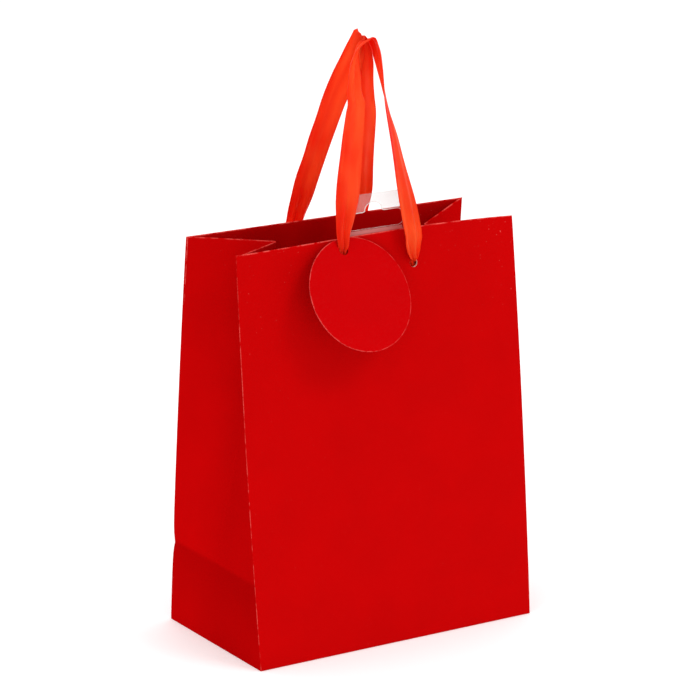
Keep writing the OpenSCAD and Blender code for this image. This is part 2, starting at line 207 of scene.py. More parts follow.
# ---- Materials -----------------------------------------------------------------------------------
class Look:
    """A node material, with short ways to add its nodes."""

    def __init__(self, name):
        self.material = bpy.data.materials.new(name)
        self.material.use_nodes = True
        self.nodes = self.material.node_tree.nodes
        self.links = self.material.node_tree.links
        self.shader = self.nodes["Principled BSDF"]

    def plain(self, **values):
        for socket, value in values.items():
            self.shader.inputs[socket.replace("_", " ")].default_value = value

    def feed(self, socket, value):
        if isinstance(value, bpy.types.NodeSocket):
            self.links.new(value, socket)
        else:
            socket.default_value = value

    def attribute(self, name):
        node = self.nodes.new("ShaderNodeAttribute")
        node.attribute_name = name
        return node.outputs["Vector"]

    def parts(self, vector):
        node = self.nodes.new("ShaderNodeSeparateXYZ")
        self.links.new(vector, node.inputs[0])
        return node.outputs

    def stretch(self, vector, along):
        """vector with its Y scaled by along, which draws a texture out lengthwise where it is under 1."""
        node = self.nodes.new("ShaderNodeVectorMath")
        node.operation = "MULTIPLY"
        self.links.new(vector, node.inputs[0])
        node.inputs[1].default_value = (1, along, 1)
        return node.outputs[0]

    def noise(self, vector, scale, detail=2.0, rough=0.5):
        node = self.nodes.new("ShaderNodeTexNoise")
        self.links.new(vector, node.inputs["Vector"])
        node.inputs["Scale"].default_value = scale
        node.inputs["Detail"].default_value = detail
        node.inputs["Roughness"].default_value = rough
        return node.outputs["Fac"]

    def math(self, operation, a, b=0.0):
        node = self.nodes.new("ShaderNodeMath")
        node.operation = operation
        self.feed(node.inputs[0], a)
        self.feed(node.inputs[1], b)
        return node.outputs[0]

    def ramp(self, value, low, high, to_low=0.0, to_high=1.0):
        """value from low..high becomes to_low..to_high, smoothly and clamped."""
        node = self.nodes.new("ShaderNodeMapRange")
        node.interpolation_type = "SMOOTHSTEP"
        self.feed(node.inputs["Value"], value)
        node.inputs["From Min"].default_value = low
        node.inputs["From Max"].default_value = high
        node.inputs["To Min"].default_value = to_low
        node.inputs["To Max"].default_value = to_high
        return node.outputs["Result"]

    def mix(self, share, a, b):
        node = self.nodes.new("ShaderNodeMix")
        node.data_type = "RGBA"  # inputs 6 and 7 and output 2 are its colours
        self.feed(node.inputs[0], share)
        self.feed(node.inputs[6], a)
        self.feed(node.inputs[7], b)
        return node.outputs[2]

    def bump(self, height, strength, distance, base=None):
        node = self.nodes.new("ShaderNodeBump")
        node.inputs["Strength"].default_value = strength
        node.inputs["Distance"].default_value = distance
        self.links.new(height, node.inputs["Height"])
        if base is not None:
            self.links.new(base, node.inputs["Normal"])
        self.links.new(node.outputs["Normal"], self.shader.inputs["Normal"])
        return node.outputs["Normal"]


def colour(red, green, blue):
    """A linear colour from screen values of 0 to 255."""

    def linear(value):
        share = value / 255
        return share / 12.92 if share <= 0.04045 else ((share + 0.055) / 1.055) ** 2.4

    return (linear(red), linear(green), linear(blue), 1)


def painted_gusset_shade(look, place, from_front, base):
    """A gusset's painted shade: a darker band under the crease it was folded flat on, and a soft darker one
    beside the front crease.
    """
    dark = colour(*PAINTED_SHADE_RED)
    height = look.parts(place)[1]
    under = look.ramp(height, PAINTED_SHADE_TOP - 1.5 * MM, PAINTED_SHADE_TOP + 2 * MM, 1, 0)
    fading = look.ramp(height, PAINTED_SHADE_TOP - 42 * MM, PAINTED_SHADE_TOP, 0.25, 1)
    band = look.math("MULTIPLY", look.math("MULTIPLY", under, fading), 0.3)
    beside = look.ramp(from_front, 40 * MM, 80 * MM, 0.2, 0)
    return look.mix(beside, look.mix(band, base, dark), dark)


def wear(look, place, edges, top_wear, side_wear, scuffs):
    """How far the pale core shows: ragged lines along the creases, and specks near the top corners."""
    left, right, top = look.parts(edges)
    patchy = look.noise(place, scale=160, detail=5, rough=0.65)
    fine = look.noise(place, scale=900, detail=3, rough=0.6)
    rubbed = look.math("MULTIPLY", look.ramp(patchy, 0.40, 0.58), look.ramp(fine, 0.32, 0.5))
    ragged = look.math("MULTIPLY", look.math("SUBTRACT", fine, 0.5), 0.9 * MM)
    speck = look.ramp(look.noise(place, scale=620), 0.70, 0.76)
    corner = look.math("ADD", look.math("MINIMUM", left, right), top)
    near_corner = look.ramp(corner, 4 * MM, 75 * MM, 1, 0.08)
    worn = look.math("MULTIPLY", look.math("MULTIPLY", speck, near_corner), scuffs)
    for distance, width, strength in (
        (top, 0.75 * MM, top_wear), (left, 0.55 * MM, side_wear), (right, 0.45 * MM, side_wear * 0.7)
    ):
        near = look.ramp(look.math("ADD", distance, ragged), 0.15 * MM, width, 1, 0)
        line = look.math("MULTIPLY", look.math("MULTIPLY", near, rubbed), strength)
        worn = look.math("MAXIMUM", worn, line)
    return worn


def paper_look(name, red, pale, top_wear, side_wear, scuffs, on_gusset=False):
    """Red laminated paper: faint mottling, fine grain, and a pale core that shows where it is worn.
    The mesh carries "paper", its place on the flat sheet, and "edges", its distance from three creases:
    left, right and top on a panel, and middle, front and top on a gusset. The tag gives its rim first."""
    look = Look(name)
    place = look.attribute("paper")
    edges = look.attribute("edges")
    cloud = look.noise(place, scale=28, detail=4, rough=0.55)
    grain = look.noise(place, scale=1500, rough=0.6)
    fibre = look.noise(look.stretch(place, 0.25), scale=3200, rough=0.7)
    mottle = colour(*[value * 0.975 for value in red])
    base = look.mix(look.ramp(cloud, 0.3, 0.7), mottle, colour(*red))
    base = look.mix(look.ramp(grain, 0.35, 0.75, 0, 0.025), base, colour(*pale))
    # on a gusset, painted shade darkens the paper under the fold and beside the front crease
    if on_gusset:
        base = painted_gusset_shade(look, place, look.parts(edges)[1], base)
    worn = wear(look, place, edges, top_wear, side_wear, scuffs)
    look.links.new(look.mix(worn, base, colour(*pale)), look.shader.inputs["Base Color"])
    rough = look.math("ADD", look.ramp(cloud, 0.3, 0.7, 0.52, 0.6), look.math("MULTIPLY", worn, 0.3))
    look.links.new(rough, look.shader.inputs["Roughness"])
    look.plain(Specular_IOR_Level=0.0 if on_gusset else 0.012, Specular_Tint=(1, 0.12, 0.1, 1))
    first = look.bump(fibre, strength=0.10, distance=0.02 * MM)
    look.bump(look.noise(place, scale=70, detail=3), strength=0.25, distance=0.12 * MM, base=first)
    return look.material


def core_look(name, dark, light):
    """The core of cut paper and card, which shows at a cut edge."""
    look = Look(name)
    place = look.nodes.new("ShaderNodeTexCoord").outputs["Object"]
    fibre = look.noise(place, scale=2500, detail=3, rough=0.7)
    look.links.new(look.mix(fibre, colour(*dark), colour(*light)), look.shader.inputs["Base Color"])
    look.plain(Roughness=0.9, Specular_IOR_Level=0.1)
    look.bump(fibre, strength=0.4, distance=0.05 * MM)
    return look.material


def board_look(name, dark, light):
    """Grey or brown pressed board with short flecks."""
    look = Look(name)
    place = look.nodes.new("ShaderNodeTexCoord").outputs["Object"]
    cloud = look.noise(place, scale=45, detail=4)
    fleck = look.noise(look.stretch(place, 0.35), scale=1800, detail=3, rough=0.7)
    fleck = look.ramp(fleck, 0.42, 0.62)
    base = look.mix(cloud, colour(*dark), colour(*light))
    base = look.mix(look.math("MULTIPLY", fleck, 0.35), base, colour(*light))
    look.links.new(base, look.shader.inputs["Base Color"])
    look.plain(Roughness=0.88, Specular_IOR_Level=0.15)
    look.bump(fleck, strength=0.3, distance=0.05 * MM)
    return look.material


def ribbon_look():
    """Satin ribbon, whose shine runs across fine lengthwise threads.
    The mesh carries "weave", the place across and along it."""
    look = Look("ribbon_satin")
    place = look.attribute("weave")
    across = look.parts(place)[0]
    threads = look.nodes.new("ShaderNodeTexWave")
    threads.wave_type = "BANDS"
    threads.bands_direction = "X"
    threads.inputs["Scale"].default_value = 520
    threads.inputs["Distortion"].default_value = 0.6
    look.links.new(place, threads.inputs["Vector"])
    # the colour carries painted sheen: soft patches between a lit and a shaded red, and lengthwise streaks of
    # painted highlight
    sheen_streak = look.noise(look.stretch(place, 0.06), scale=420, detail=3, rough=0.6)
    cloud = look.noise(look.stretch(place, 0.45), scale=34)
    sheen_lit = colour(252, 76, 34)
    deep = colour(231, 26, 12)
    base = look.mix(look.ramp(cloud, 0.35, 0.65), deep, sheen_lit)
    base = look.mix(look.ramp(sheen_streak, 0.5, 0.8, 0, 0.28), base, colour(255, 106, 54))
    selvedge = RIBBON_W / 2
    edge = look.ramp(look.math("ABSOLUTE", across), selvedge - 0.9 * MM, selvedge - 0.2 * MM)
    base = look.mix(look.math("MULTIPLY", edge, 0.5), base, colour(228, 34, 18))
    look.links.new(base, look.shader.inputs["Base Color"])
    look.plain(
        Roughness=0.45, Specular_IOR_Level=0.08, Specular_Tint=(1, 0.4, 0.16, 1), Anisotropic=0.55,
        Subsurface_Weight=0.4, Subsurface_Radius=(5 * MM, 0.5 * MM, 0.2 * MM), Subsurface_Scale=1.0
    )
    first = look.bump(threads.outputs["Fac"], strength=0.10, distance=0.03 * MM)
    crease = look.noise(look.stretch(place, 0.22), scale=260, detail=3)
    look.bump(crease, strength=0.22, distance=0.10 * MM, base=first)
    return look.material


def film_look(name, tint, alpha, rough, shaded=1.0, shade_below=None):
    """Clear film or adhesive, seen mostly by its haze. Below the given height only the share shaded of the
    haze is left, as painted shade where the film lies in the bag's shade.
    """
    look = Look(name)
    place = look.nodes.new("ShaderNodeTexCoord").outputs["Object"]
    haze = look.noise(place, scale=60)
    veil = look.ramp(haze, 0.35, 0.7, alpha * 0.92, alpha * 1.08)
    # painted shade: below the given height the haze is thinned
    if shade_below:
        height = look.parts(place)[2]
        veil = look.math("MULTIPLY", veil, look.ramp(height, shade_below, shade_below + 4 * MM, shaded, 1))
    look.links.new(veil, look.shader.inputs["Alpha"])
    look.plain(Base_Color=colour(*tint), Roughness=rough, Specular_IOR_Level=0.3)
    look.bump(look.noise(place, scale=40), strength=0.1, distance=0.1 * MM)
    return look.material


# ---- Mesh helpers --------------------------------------------------------------------------------
def unit(vectors):
    return vectors / np.linalg.norm(vectors, axis=-1, keepdims=True)


def give(mesh, key, values):
    """Sets a vector on every point of mesh, which its material reads."""
    layer = mesh.attributes.get(key) or mesh.attributes.new(key, "FLOAT_VECTOR", "POINT")
    layer.data.foreach_set("vector", np.asarray(values, np.float32).ravel())


def ring_faces(rows, cols, closed=False):
    """Quads between rows of points, each row a closed ring. closed joins the last row to the first."""
    faces = []
    for row in range(rows if closed else rows - 1):
        low, high = row * cols, (row + 1) % rows * cols
        for k in range(cols):
            after = (k + 1) % cols
            faces.append((low + k, low + after, high + after, high + k))
    return faces


def add_mesh(name, points, faces, material, attributes=None):
    mesh = bpy.data.meshes.new(name)
    mesh.from_pydata([tuple(p) for p in points], [], faces)
    mesh.validate()
    for key, values in (attributes or {}).items():
        give(mesh, key, values)
    mesh.materials.append(material)
    mesh.shade_smooth()
    obj = bpy.data.objects.new(name, mesh)
    bpy.context.scene.collection.objects.link(obj)
    return obj


def shell(name, outer, inner, material, attributes):
    """A closed sheet between two grids of points, outer and inner, each rows x columns x 3.
    attributes are grids too, and both faces of the sheet share them."""
    rows, cols = outer.shape[:2]
    count = rows * cols
    points = np.concatenate([outer.reshape(-1, 3), inner.reshape(-1, 3)])

    def at(row, col, face):
        return face * count + row * cols + col

    faces = []
    for row in range(rows - 1):
        for col in range(cols - 1):
            faces.append((at(row, col, 0), at(row, col + 1, 0), at(row + 1, col + 1, 0), at(row + 1, col, 0)))
            faces.append((at(row, col, 1), at(row + 1, col, 1), at(row + 1, col + 1, 1), at(row, col + 1, 1)))
    last = cols - 1
    for row in range(rows - 1):
        faces.append((at(row, 0, 0), at(row + 1, 0, 0), at(row + 1, 0, 1), at(row, 0, 1)))
        faces.append((at(row, last, 0), at(row, last, 1), at(row + 1, last, 1), at(row + 1, last, 0)))
    last = rows - 1
    for col in range(cols - 1):
        faces.append((at(0, col, 0), at(0, col, 1), at(0, col + 1, 1), at(0, col + 1, 0)))
        faces.append((at(last, col, 0), at(last, col + 1, 0), at(last, col + 1, 1), at(last, col, 1)))
    both = {key: np.concatenate([grid.reshape(-1, 3)] * 2) for key, grid in attributes.items()}
    obj = add_mesh(name, points, faces, material, both)
    sharpen(obj)
    return obj


def sharpen(obj, degrees=40):
    """Faces that meet at a real corner stay crisp, and the rest shade smoothly."""
    mesh = bmesh.new()
    mesh.from_mesh(obj.data)
    bmesh.ops.recalc_face_normals(mesh, faces=mesh.faces)
    limit = math.radians(degrees)
    for edge in mesh.edges:
        edge.smooth = len(edge.link_faces) == 2 and edge.calc_face_angle(0) < limit
    mesh.to_mesh(obj.data)
    mesh.free()


def punch(obj, centre, axis, radius, rim):
    """Cuts a round hole through obj, and gives the hole's wall its own material."""
    bpy.ops.mesh.primitive_cylinder_add(vertices=40, radius=radius, depth=12 * MM, location=centre)
    cutter = bpy.context.object
    cutter.rotation_mode = "QUATERNION"
    cutter.rotation_quaternion = Vector(axis).to_track_quat("Z", "Y")
    bpy.context.view_layer.update()
    modifier = obj.modifiers.new("hole", "BOOLEAN")
    modifier.object = cutter
    modifier.operation = "DIFFERENCE"
    modifier.solver = "EXACT"
    bake_modifiers(obj)
    bpy.data.objects.remove(cutter)
    if rim.name not in obj.data.materials:
        obj.data.materials.append(rim)
    wall = list(obj.data.materials).index(rim)
    along = Vector(axis).normalized()
    for face in obj.data.polygons:
        off = face.center - Vector(centre)
        across = off - along * off.dot(along)
        faces_the_axis = abs(face.normal.dot(along)) < 0.3
        if across.length < radius * 1.02 and faces_the_axis:
            face.material_index = wall


def bake_modifiers(obj):
    """Turns obj's modifiers into its own mesh."""
    graph = bpy.context.evaluated_depsgraph_get()
    mesh = bpy.data.meshes.new_from_object(obj.evaluated_get(graph))
    old = obj.data
    obj.modifiers.clear()
    obj.data = mesh
    bpy.data.meshes.remove(old)


# ---- Places on the two leaning panels: across, into the bag, up the paper ------------------------
def front_point(x, inside, s):
    x, inside, s = np.broadcast_arrays(x, inside, s)
    y = -BAG_D / 2 + s * math.sin(FRONT_LEAN) + inside * math.cos(FRONT_LEAN)
    return np.stack([x, y, s * math.cos(FRONT_LEAN) - inside * math.sin(FRONT_LEAN)], -1)


def rear_point(x, inside, s):
    x, inside, s = np.broadcast_arrays(x, inside, s)
    y = BAG_D / 2 - s * math.sin(REAR_LEAN) - inside * math.cos(REAR_LEAN)
    return np.stack([x, y, s * math.cos(REAR_LEAN) - inside * math.sin(REAR_LEAN)], -1)


def bow(s, notched):
    """How far an upright crease stands outside the straight line between its ends."""
    out = EDGE_BOW * np.sin(np.pi * np.clip(s / BAG_H, 0, 1)) ** 0.8
    if notched:
        out = out + REAR_FLARE * np.clip(s / BAG_H, 0, 1) ** 2
        out = out - NOTCH * np.exp(-np.abs(s - NOTCH_S) / NOTCH_REACH)
    return out


def ripple(x, s, phase):
    """The slight unevenness of handled paper; it fades towards the stiff mouth."""
    fade = np.clip((BAG_H - TURN_H - s) / (30 * MM), 0, 1) * np.clip(s / (25 * MM), 0, 1)
    wave = np.sin(x * 71 + phase) * np.sin(s * 53 + 2 * phase) + 0.5 * np.sin(x * 39 - s * 88 + phase)
    return 0.16 * MM * fade * wave


def turned_profile(total):
    """The sheet's line up the outer face, over the mouth's rounded edge and down inside, and the same line
    one ply further in. Each is given as heights and as distances inside the outer face, and total is how
    thick the mouth is."""
    top = BAG_H - total / 2
    rise = np.concatenate([np.linspace(0, CORNER_R, 5)[:-1], np.linspace(CORNER_R, top, 84)])
    arc = np.linspace(0, math.pi, 9)[1:-1]
    over_s = top + total / 2 * np.sin(arc)
    over_in = total / 2 * (1 - np.cos(arc))
    drop = np.linspace(top, BAG_H - TURN_H, 16)
    s = np.concatenate([rise, over_s, drop])
    inside = np.concatenate([np.zeros(len(rise)), over_in, np.full(len(drop), total)])
    ds = np.gradient(s)
    di = np.gradient(inside)
    size = np.hypot(ds, di)
    return s, inside, s - di / size * PAPER, inside + ds / size * PAPER


def panel_grid(point, s, inside, flat, turn, radius, notched, arched, bulge, phase):
    """One face of a panel's sheet, at the places flat across it. turn is how far it has turned there."""
    half = BAG_W / 2
    s_grid, x_flat = np.meshgrid(s, flat, indexing="ij")
    inside_grid = np.repeat(inside[:, None], len(flat), 1)
    outer_run = inside_grid < MOUTH_T / 2
    turned = np.where(outer_run, turn[None, :], 0)
    x = x_flat * (1 + bow(s_grid, notched) / half) + radius * np.sin(turned)
    rounded = radius * (1 - np.cos(turned))
    swell = bulge * np.sin(np.pi * (x_flat / BAG_W + 0.5)) * np.sin(np.pi * s_grid / BAG_H) ** 1.4
    swell = swell + ripple(x_flat, s_grid, phase)
    foot = np.clip(1 - s_grid / CORNER_R, 0, 1)
    depth = inside_grid + rounded - swell + CORNER_R * (1 - np.sqrt(1 - foot**2)) * outer_run
    share = x_flat / half
    rise = TOP_RISE[0] + TOP_RISE[1] * (1 - share**2) * (1 + RISE_SKEW * share) if arched else 0
    lift = rise * np.clip((s_grid - (BAG_H - TURN_H)) / TURN_H, 0, 1)
    return point(x, depth, s_grid + lift + FOOT_LIFT * outer_run * foot)


def panel_sheet(name, point, paper_material, core_material, notched, arched, bulge, phase):
    """One large face of the bag, with its turned-in top, rounded upright creases and two ribbon holes."""
    half = BAG_W / 2
    arc = np.linspace(0, CORNER_TURN, 5)[1:]
    middle = np.linspace(-(half - CORNER_R), half - CORNER_R, 61)
    turn = np.concatenate([-arc[::-1], np.zeros(len(middle)), arc])
    flat = np.concatenate([np.full(len(arc), middle[0]), middle, np.full(len(arc), middle[-1])])
    s_out, in_out, s_in, in_in = turned_profile(MOUTH_T)
    shape = (notched, arched, bulge, phase)
    outer = panel_grid(point, s_out, in_out, flat, turn, CORNER_R, *shape)
    inner = panel_grid(point, s_in, in_in, flat, turn, CORNER_R - PAPER, *shape)
    s_grid, x_flat = np.meshgrid(s_out, flat, indexing="ij")
    x_place = x_flat + CORNER_R * turn[None, :]
    paper = np.stack([x_place, s_grid + phase, np.zeros_like(s_grid)], -1)
    reach = half + 0.2 * MM
    edges = np.stack([reach + x_place, reach - x_place, BAG_H - s_grid], -1)
    sheet = shell(name, outer, inner, paper_material, {"paper": paper, "edges": edges})
    through = Vector(point(0, 1, 0)) - Vector(point(0, 0, 0))
    for x in (-HOLE_X, HOLE_X):
        punch(sheet, Vector(point(x, 0, HOLE_S)), through, HOLE_R, core_material)
    return sheet


def gusset_grid(side, s, share):
    """Points of a gusset. share is -1 on the front crease, 0 on the middle crease and 1 on the rear one."""
    sign = -1 if side == "left" else 1
    half = BAG_W / 2
    front = front_point(sign * (half + bow(s, False)), GUSSET_TUCK, s)
    rear = rear_point(sign * (half + bow(s, True)), GUSSET_TUCK, s)
    up = np.clip((s - CREASE_FOOT) / (BAG_H - CREASE_FOOT), 0, 1)
    deep = DENT * np.clip(s / CREASE_FOOT, 0, 1) + (FOLD_IN[side] - DENT) * up
    fold = 1 - np.sqrt(share**2 + CREASE_SOFT**2)
    slope = (FOLD_IN[side] - DENT) / (BAG_H - CREASE_FOOT)
    drop = (1 - 1 / math.hypot(1, slope)) * (BAG_H - CREASE_FOOT) * up
    middle = (front + rear) / 2
    middle[..., 1] = front[..., 1] * MIDDLE_SHARE + rear[..., 1] * (1 - MIDDLE_SHARE)
    end = np.where((share < 0)[..., None], front, rear)
    weight = np.abs(share)[..., None]
    points = end * weight + middle * (1 - weight)
    below = np.clip((CREASE_FOOT - s) / RIDGE_BELOW, 0, 1)
    above = np.clip((s - CREASE_FOOT) / RIDGE_ABOVE, 0, 1)
    ridge = RIDGE * (1 - below) ** 1.6 * (1 - above) ** 2 * (1 - share**2) ** 0.6
    points[..., 0] += sign * (ridge - deep * fold + ripple(points[..., 1], s, 1.7) * (1 - share**4))
    points[..., 2] -= drop * fold * TIP_DROP[side]
    return points


def gusset_sheet(name, side, material):
    """One gusset with its turned-in top, folded in along its middle crease above a flat triangle."""
    s_out, in_out, s_in, in_in = turned_profile(GUSSET_TOP_T)
    fine = 0.06  # the grid is finer where the middle crease is rounded
    half_share = np.concatenate([np.linspace(0, fine, 5)[:-1], np.linspace(fine, 1, 26)])
    share = np.concatenate([-half_share[::-1], half_share[1:]])
    grids = []
    for s, inside in ((s_out, in_out), (s_in, in_in)):
        s_grid, u_grid = np.meshgrid(np.minimum(s, BAG_H), share, indexing="ij")
        surface = gusset_grid(side, s_grid, u_grid)
        upward = surface - gusset_grid(side, s_grid - 0.5 * MM, u_grid)
        inward = unit(np.cross(np.gradient(surface, axis=1), upward))
        if side == "right":
            inward = -inward
        keep_in = np.clip((1 - np.abs(u_grid)) / GUSSET_THIN, 0.25, 1)
        grids.append(surface + inward * inside[:, None, None] * keep_in[..., None])
    s_grid, u_grid = np.meshgrid(s_out, share, indexing="ij")
    place = (u_grid + 1) * BAG_D / 2
    paper = np.stack([place + PATTERN_SHIFT[side], s_grid, np.zeros_like(place)], -1)
    edges = np.stack([np.abs(u_grid) * BAG_D / 2 + 0.3 * MM, place, BAG_H - s_grid], -1)
    return shell(name, grids[0], grids[1], material, {"paper": paper, "edges": edges})


# ---- Ribbons -------------------------------------------------------------------------------------
def smooth_line(stations, count):
    """Catmull-Rom curve through the stations, evenly spaced by its length. A tilt that is left out is 0."""
    rows = np.array([(*row, 0.0)[:6] for row in stations])
    padded = np.vstack([2 * rows[0] - rows[1], rows, 2 * rows[-1] - rows[-2]])
    dense = []
    for i in range(1, len(padded) - 2):
        a, b, c, d = padded[i - 1 : i + 3]
        square = 2 * a - 5 * b + 4 * c - d
        cube = 3 * b - a - 3 * c + d
        for t in np.linspace(0, 1, 24, endpoint=False):
            dense.append((2 * b + (c - a) * t + square * t**2 + cube * t**3) / 2)
    dense.append(rows[-1])
    dense = np.array(dense)
    run = np.concatenate([[0], np.cumsum(np.linalg.norm(np.diff(dense[:, :3], axis=0), axis=1))])
    wanted = np.linspace(0, run[-1], count)
    return np.stack([np.interp(wanted, run, column) for column in dense.T], -1), wanted


def ribbon(name, stations, material):
    """A satin strip through stations of x, y, z, the angle of its width from the X axis, its gathered width
    and its tilt. Where it is gathered, lengthwise pleats take up the rest of its width."""
    line, run = smooth_line(stations, 260)
    run = run * MM
    centre = line[:, :3] * MM
    angle = np.radians(line[:, 3])
    tilt = np.radians(line[:, 5])
    along = unit(np.gradient(centre, axis=0))
    wide = np.stack([np.cos(angle) * np.cos(tilt), np.sin(angle) * np.cos(tilt), np.sin(tilt)], -1)
    wide = unit(wide - along * (wide * along).sum(1, keepdims=True))
    normal = np.cross(along, wide)

    u = np.linspace(-1, 1, 25)[None, :]
    width = np.clip(line[:, 4] * MM, RIBBON_MIN_W, RIBBON_W)
    gathered = np.clip(RIBBON_W / width - 1, 0, 3)
    calm = np.clip(1 - np.abs(tilt) / 0.35, 0.25, 1)  # a strip on its side has shallower pleats
    height = (width / (math.pi * PLEATS) * np.sqrt(gathered) * calm)[:, None]
    wave = np.sin(math.pi * PLEATS * u + 0.6 + 0.4 * np.sin(run / (30 * MM))[:, None])
    twist = np.clip(np.abs(np.gradient(line[:, 3], run / MM)) / 1.5, 0, 1)[:, None]
    crown = (0.35 + 0.9 * twist) * MM * (1 - u**2)
    sway = 0.12 * MM * np.sin(run / (9 * MM))[:, None] * u
    lift = height * wave + crown + sway

    across = wide[:, None] * (u * width[:, None] / 2)[..., None]
    outer = centre[:, None] + across + normal[:, None] * lift[..., None]
    face = unit(np.cross(np.gradient(outer, axis=0), np.gradient(outer, axis=1)))
    weave = np.stack(np.broadcast_arrays(u * RIBBON_W / 2, run[:, None], 0.0), -1)
    strip = shell(name, outer, outer - face * RIBBON_T, material, {"weave": weave})
    return strip, float(run[-1])


def panel_station(point, x, inside, s, angle, width):
    """A ribbon station given on a panel, in millimetres."""
    place = point(x * MM, inside * MM, s * MM) / MM
    return (*place, angle, width)


# Stations in millimetres and degrees. The ends lie on their panels: across, inside the outer face, up the
# paper, angle and gathered width. The first lies behind its hole.
FRONT_LEFT_END = [
    (-22.5, 2.6, 212.5, 0, 3.2), (-22.5, 0.4, 212.5, 0, 3.2), (-22.6, -1.6, 213.1, 0, 3.6),
    (-23.2, -2.1, 217.0, 0, 4.2), (-24.6, -2.4, 222.6, 0, 4.4), (-25.2, -4.0, 225.8, 0, 5.2),
    (-25.3, -5.6, 228.6, 0, 6.6)
]
FRONT_RIGHT_END = [
    (22.6, 2.6, 213.7, 0, 2.6), (22.6, 0.4, 213.9, 0, 2.6), (22.5, -1.2, 214.9, 0, 3.6),
    (21.2, -2.6, 218.2, 3, 7.4), (20.0, -4.2, 223.4, 6, 10.4), (19.4, -5.6, 228.6, 9, 12.0)
]
REAR_LEFT_END = [
    (-22.5, 2.6, 212.5, 0, 3.2), (-22.5, 0.4, 212.5, 0, 3.2), (-22.3, -1.4, 213.2, 0, 4.4),
    (-21.0, -3.0, 217.4, 0, 7.6), (-18.6, -5.0, 223.4, 0, 10.2), (-17.0, -5.8, 228.6, 0, 11.4)
]
REAR_RIGHT_END = [
    (22.5, 2.6, 212.5, 0, 3.2), (22.5, 0.4, 212.5, 0, 3.2), (22.8, -1.4, 213.2, 0, 4.4),
    (23.6, -3.0, 217.4, 0, 7.6), (24.6, -5.0, 223.4, 0, 10.2), (25.0, -5.8, 228.6, 0, 11.4)
]
# The loops stand free: x, y, z, angle, gathered width and, where it isn't 0, tilt.
FRONT_LOOP = [
    (-24.4, -28.6, 234.5, 0, 8.6), (-22.2, -26.6, 242, 0, 11.4), (-19.6, -24.0, 251, 0, 14.0),
    (-16.8, -21.2, 261, 0, 14.8), (-12.3, -16.9, 277, 6, 14.8), (-9.3, -14.1, 287, 10, 14.8),
    (-7.2, -12.4, 296, 15, 14.8), (-6.3, -12.0, 301, 18, 14.6), (-6.2, -10.6, 305, 22, 13.2),
    (-5.4, -8.8, 309.5, 26, 12.4), (-3.2, -5.8, 318.5, 33, 12.2), (-0.4, -3.6, 326, 48, 11.4),
    (3.2, -1.8, 331, 74, 9.6, -8), (6.6, -1.2, 332.4, 88, 8.4, -20), (9.7, -1.2, 333.1, 90, 8.2, -24),
    (11.4, -2.2, 329, 84, 9.4, -14), (12.1, -4.6, 321, 73, 13.0, -4), (12.6, -6.2, 315, 68, 14.2),
    (12.9, -8.2, 308, 63, 14.8), (13.1, -10.4, 300.5, 58, 14.8), (14.0, -12.8, 292, 52, 14.8),
    (15.6, -16.0, 280, 43, 14.8), (16.6, -19.2, 268, 36, 14.8), (17.4, -22.0, 258, 29, 14.8),
    (18.3, -25.0, 247.5, 22, 14.6), (18.9, -28.2, 236, 15, 13.4)
]
REAR_LOOP = [
    (-16.2, 32.0, 234.5, 0, 13.2), (-15.2, 29.6, 242, -2, 14.2), (-13.9, 26.4, 253, -4, 14.8),
    (-11.6, 22.8, 265, -4, 14.8), (-9.8, 19.4, 276, -8, 14.8), (-7.4, 16.0, 287.5, -8, 14.8),
    (-5.2, 12.4, 299, -12, 14.8), (-1.6, 8.8, 311, -22, 14.4), (1.4, 5.4, 321, -38, 13.2),
    (3.0, 3.0, 330, -66, 11.6, -8), (3.8, 1.8, 335.6, -86, 10.8, -18), (4.8, 1.6, 336.8, -90, 10.5, -18),
    (6.0, 1.6, 334.6, -90, 10.6, -16), (7.0, 2.6, 329, -72, 11.4, -8), (8.2, 5.4, 320, -46, 12.6),
    (10.2, 9.2, 308, -26, 13.4), (13.2, 12.8, 297, -12, 14.2), (16.4, 16.0, 287, -6, 14.8),
    (18.4, 19.2, 277, -3, 14.8), (20.2, 22.8, 265, 0, 14.8), (22.0, 26.4, 253, 0, 14.6),
    (24.2, 29.8, 241, 0, 13.6), (24.8, 32.0, 234.5, 0, 12.6)
]
# A knot's tail: as for the ends, but across is counted from its hole, away from the bag's middle.
TAIL = [(0, 3.6, 210.5, 0, 4), (1, 4.4, 207, 0, 7), (1.6, 3.6, 202, 4, 11), (2.4, 2.6, 196, 8, 13.5)]


def handle_ribbon(name, point, left_end, loop, right_end, material):
    """A whole ribbon handle, from behind its left hole to behind its right one, and its length."""
    left = [panel_station(point, *row) for row in left_end]
    right = [panel_station(point, *row) for row in right_end]
    return ribbon(name, left + loop + right[::-1], material)


